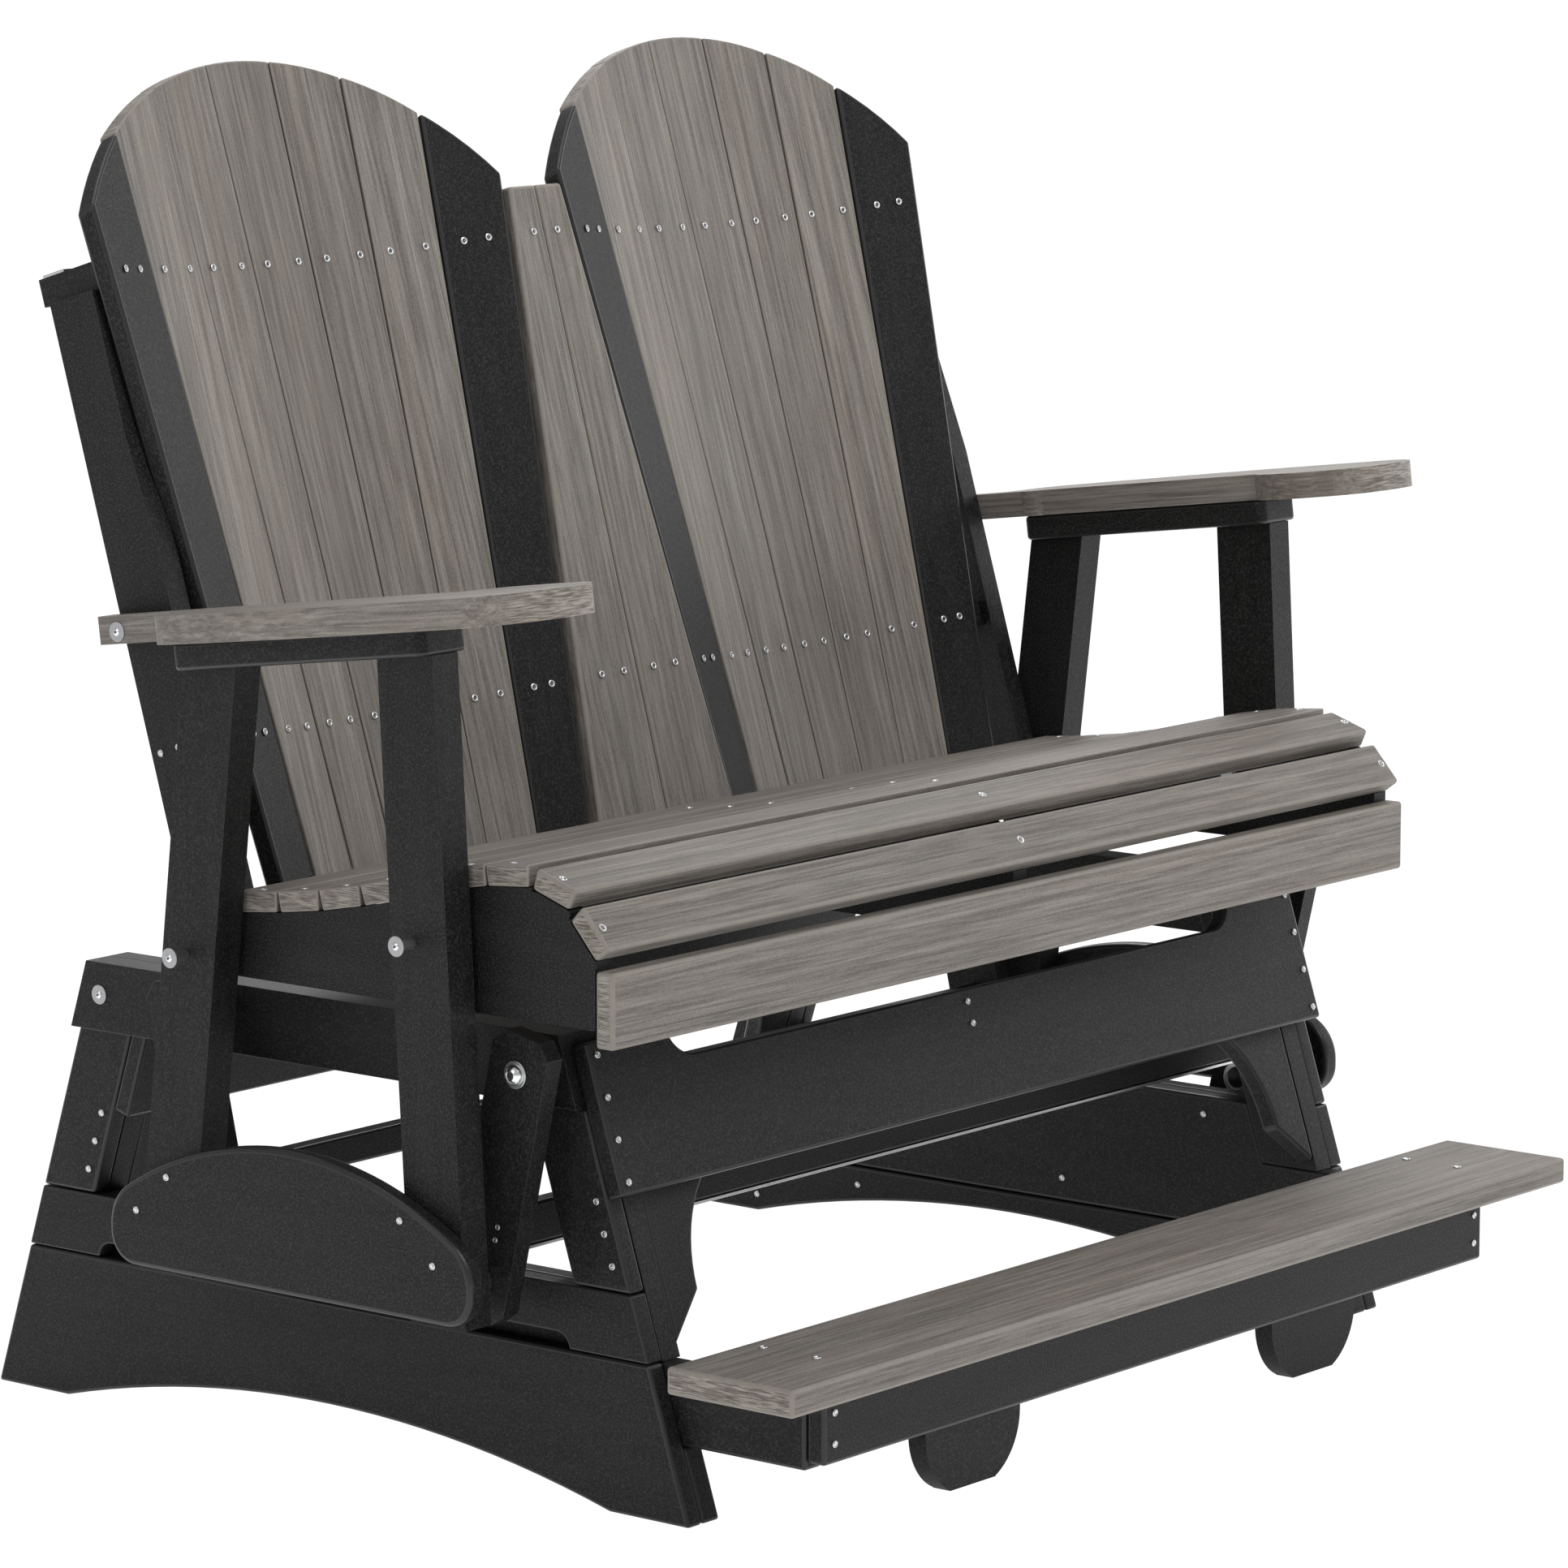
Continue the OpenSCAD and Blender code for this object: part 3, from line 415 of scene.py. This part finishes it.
def screw(parts, centre, ax, r, thick, on_black):
    """A low round head with a dished rim and a driven socket, whose hollow on grey boards is a dark disc of
    painted shade.
    """
    base = centre - ax * thick / 1000
    parts.turned(base - ax * 0.008, ax, [(0, 1.0), (2, 1.9), (8.1, 1.9)], 0, 12)
    rim = [(h * thick / RING_HEIGHT, q * r) for h, q in RING_HEAD]
    parts.turned(base, ax, rim, 0, 28)
    if on_black:
        parts.turned(base, ax, [(0.4, 0.56 * r), (0.62 * thick, 0.54 * r)], 0, 20)
        parts.turned(base, ax, [(0.4, 0.34 * r), (0.95 * thick, 0.30 * r), (1.0 * thick, 0.2 * r)], 1, 12)
    else:
        # a dark disc at the bottom of the dish: painted shade of the drive recess
        parts.turned(base, ax, [(0.3, 0.55 * r), (0.48 * thick, 0.53 * r)], 2, 20)
        parts.turned(base, ax, [(0.3, 0.17 * r), (0.8 * thick, 0.15 * r)], 1, 6)


for node, body in (("base_screws", "base"), ("seat_screws", "seat")):
    parts = Parts(node.replace("_", "") + "_detail", [steel, bright, socket_shade])
    for pts in islands(nodes[node]):
        centre, ax, r = head_of(pts)
        on_black = node == "base_screws" and ax.z < 0.9 or abs(ax.x) > 0.9
        head_r = min(r * 1000, BLACK_HEAD_R) if on_black else r * 1000
        screw(parts, centre, ax, head_r, 1.6 if r > 0.0038 else 1.2, on_black)
    parts.build(body, "stainless", node)


def dome(parts, at, axis, r, h, mat, socket=True):
    """A domed bolt head with a six-sided socket in its top, drawn as a dark hexagon of painted shade."""
    steps = [(h * math.sin(t), r * math.cos(t)) for t in [math.radians(v) for v in (0, 15, 30, 45, 58)]]
    prof = [(-0.1, r)] + steps
    top_h, top_r = steps[-1]
    if socket:
        prof += [(top_h + 0.25, top_r * 0.86), (top_h - 0.2, top_r * 0.80)]
    parts.turned(at, axis, prof, mat, 40)
    if socket:
        # a dark hexagon laid in the top: painted shade of the socket
        hex_at = at + Vector(axis) * (top_h - 0.15) / 1000
        parts.turned(hex_at, axis, [(0, top_r * 0.66), (0.2, top_r * 0.62)], DARK, 6)


def washer(parts, at, axis, r, t, mat):
    parts.turned(at, axis, [(0, r - 0.4), (0.3, r), (t - 0.4, r), (t, r - 0.5)], mat, 48)


def nut(parts, at, axis, r, t):
    parts.turned(at, axis, [(0, r * 0.94), (0.6, r), (t - 0.7, r), (t, r * 0.9)], 0, 6)


def line(parts, x0, x1, y, z, r, mat, sides=24):
    s = 1 if x1 > x0 else -1
    parts.turned(Vector((x0, y, z)), (s, 0, 0), [(0, r), (abs(x1 - x0) * 1000, r)], mat, sides)


hanger_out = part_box("hanger_front_right")[1].x
hanger_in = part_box("hanger_front_right")[0].x
rail_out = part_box("top_rail_right")[1].x
leg_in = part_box("inner_legs_right")[0].x
post_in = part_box("post_front_right")[0].x
post_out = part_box("post_front_right")[1].x
black_cap = metal("blackened_steel", (0.055, 0.055, 0.058), 0.28)

dull = metal("dull_steel", (0.44, 0.44, 0.45), 0.45)
tops = Parts("upper_pivot_hardware", [steel, bright, socket_shade, dull])
for pts in islands(nodes["top_pivot_bolts"]):
    c = sum(pts, Vector()) / len(pts)
    s = 1 if c.x > 0 else -1
    y = (min(p.y for p in pts) + max(p.y for p in pts)) / 2
    z = (min(p.z for p in pts) + max(p.z for p in pts)) / 2
    swings = max(abs(p.x) for p in pts) > hanger_in
    out = (s, 0, 0)
    back_to = (-s, 0, 0)
    washer(tops, Vector((s * leg_in, y, z)), back_to, 12, 1.6, STEEL)
    nut(tops, Vector((s * (leg_in - 0.0016), y, z)), back_to, 9.5, 6.2)
    if swings:
        line(tops, s * (leg_in - 0.004), s * (hanger_out + 0.004), y, z, 6.0, STEEL)
        spacer = (hanger_in - rail_out) * 1000 - 0.6
        washer(tops, Vector((s * (rail_out + 0.0002), y, z)), out, 14, spacer, STEEL)
        washer(tops, Vector((s * (hanger_out + 0.0003), y, z)), out, 12.5, 1.8, STEEL)
        dome(tops, Vector((s * (hanger_out + 0.0021), y, z)), out, 9.5, 7.2, BRIGHT)
    else:
        line(tops, s * (leg_in - 0.004), s * (rail_out + 0.001), y, z, 6.0, STEEL)
        washer(tops, Vector((s * rail_out, y, z)), out, 9.2, 1.3, DULL)
        dome(tops, Vector((s * (rail_out + 0.0013), y, z)), out, 3.8, 1.5, BRIGHT)
tops.build("base", "chromed", "top_pivot_bolts")

lows = Parts("lower_pivot_hardware", [steel, bright, black_cap])
for pts in islands(nodes["bottom_pivot_bolts"]):
    s = 1 if pts[0].x > 0 else -1
    y = (min(p.y for p in pts) + max(p.y for p in pts)) / 2
    z = (min(p.z for p in pts) + max(p.z for p in pts)) / 2
    line(lows, s * (hanger_in - 0.003), s * (post_out - 0.004), y, z, 6.0, STEEL)
    washer(lows, Vector((s * (hanger_in - 0.0004), y, z)), (-s, 0, 0), 17, 2.2, STEEL)
    dome(lows, Vector((s * (hanger_in - 0.0026), y, z)), (-s, 0, 0), 12.5, 6.5, DARK, False)
    spacer = (post_in - hanger_out) * 1000 - 0.6
    washer(lows, Vector((s * (hanger_out + 0.0003), y, z)), (s, 0, 0), 14.5, spacer, BRIGHT)
lows.build("seat", "chromed", "bottom_pivot_bolts")

bolts = Parts("seat_bolt_hardware", [steel, bright, socket_shade, dull])
for pts in islands(nodes["seat_bolts"]):
    s = 1 if pts[0].x > 0 else -1
    y = (min(p.y for p in pts) + max(p.y for p in pts)) / 2
    z = (min(p.z for p in pts) + max(p.z for p in pts)) / 2
    lo, hi = min(abs(p.x) for p in pts), max(abs(p.x) for p in pts)
    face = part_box("half_moon_right")[1].x if hi > post_out - 0.002 else hi - 0.0039
    line(bolts, s * lo, s * (face + 0.001), y, z, 4.9, STEEL)
    washer(bolts, Vector((s * face, y, z)), (s, 0, 0), 9.2, 1.3, DULL)
    dome(bolts, Vector((s * (face + 0.0013), y, z)), (s, 0, 0), 3.8, 1.5, BRIGHT)
    washer(bolts, Vector((s * (lo + 0.0058), y, z)), (-s, 0, 0), 9, 1.4, STEEL)
    nut(bolts, Vector((s * (lo + 0.0044), y, z)), (-s, 0, 0), 8.2, 4.2)
bolts.build("seat", "stainless", "seat_bolts")

# heights and depths of the two small screws on the outer face of each front hanger
STRIP_SCREWS = ((-0.1685, 0.256), (-0.1655, 0.244))
pins = Parts("hanger_strip_screws", [steel, bright, socket_shade])
for s in (-1, 1):
    for y, z in STRIP_SCREWS:
        screw(pins, Vector((s * (hanger_out + 0.0011), y, z)), Vector((s, 0, 0)), 2.6, 1.1, True)
pins.build("front_swing", "stainless")

# ---- floor, world and light ----
floor_mesh = bpy.data.meshes.new("floor")
floor_mesh.from_pydata([(-30, -30, 0), (30, -30, 0), (30, 30, 0), (-30, 30, 0)], [], [(0, 1, 2, 3)])
floor = bpy.data.objects.new("floor", floor_mesh)
scene.collection.objects.link(floor)
k = Nodes("floor_white")
k.bsdf.inputs["Base Color"].default_value = (0.80, 0.80, 0.80, 1)
k.bsdf.inputs["Roughness"].default_value = 0.9
k.bsdf.inputs["Specular IOR Level"].default_value = 0.0
k.bsdf.inputs["Emission Color"].default_value = (1, 1, 1, 1)
k.bsdf.inputs["Emission Strength"].default_value = 0.55
glow = k.add("ShaderNodeEmission")
glow.inputs["Strength"].default_value = 1.05
share = k.add("ShaderNodeMixShader")
k.put(share.inputs[0], k.math("MULTIPLY", k.add("ShaderNodeLightPath").outputs["Is Camera Ray"], 0.93))
k.put(share.inputs[1], k.bsdf.outputs[0])
k.put(share.inputs[2], glow.outputs[0])
k.put(k.t.nodes["Material Output"].inputs["Surface"], share.outputs[0])
floor.data.materials.append(k.m)

world = bpy.data.worlds.new("studio")
scene.world = world
world.use_nodes = True
wt = world.node_tree
seen = wt.nodes.new("ShaderNodeBackground")
seen.inputs[0].default_value = (1, 1, 1, 1)
seen.inputs[1].default_value = 1.05
lit = wt.nodes["Background"]
lit.inputs[0].default_value = (1, 1, 1, 1)
lit.inputs[1].default_value = 0.50
path = wt.nodes.new("ShaderNodeLightPath")
mixer = wt.nodes.new("ShaderNodeMixShader")
wt.links.new(path.outputs["Is Camera Ray"], mixer.inputs[0])
wt.links.new(lit.outputs[0], mixer.inputs[1])
wt.links.new(seen.outputs[0], mixer.inputs[2])
wt.links.new(mixer.outputs[0], wt.nodes["World Output"].inputs[0])
scene.view_settings.view_transform = "Standard"
scene.view_settings.look = "None"


def softbox(name, at, size, power, target=(0, 0, 0.6)):
    data = bpy.data.lights.new(name, "AREA")
    data.shape = "SQUARE"
    data.size = size
    data.energy = power
    light = bpy.data.objects.new(name, data)
    scene.collection.objects.link(light)
    light.location = at
    light.rotation_euler = (Vector(target) - Vector(at)).to_track_quat("-Z", "Y").to_euler()


softbox("key", (-0.6, -3.4, 5.2), 2.6, 118)
softbox("fill", (5.0, -1.2, 1.8), 3.0, 70)
softbox("top", (-0.4, 0.6, 5.6), 3.0, 75)
softbox("side", (-4.6, 0.4, 2.6), 2.2, 26)
softbox("rim", (3.2, 2.6, 3.4), 2.4, 85)
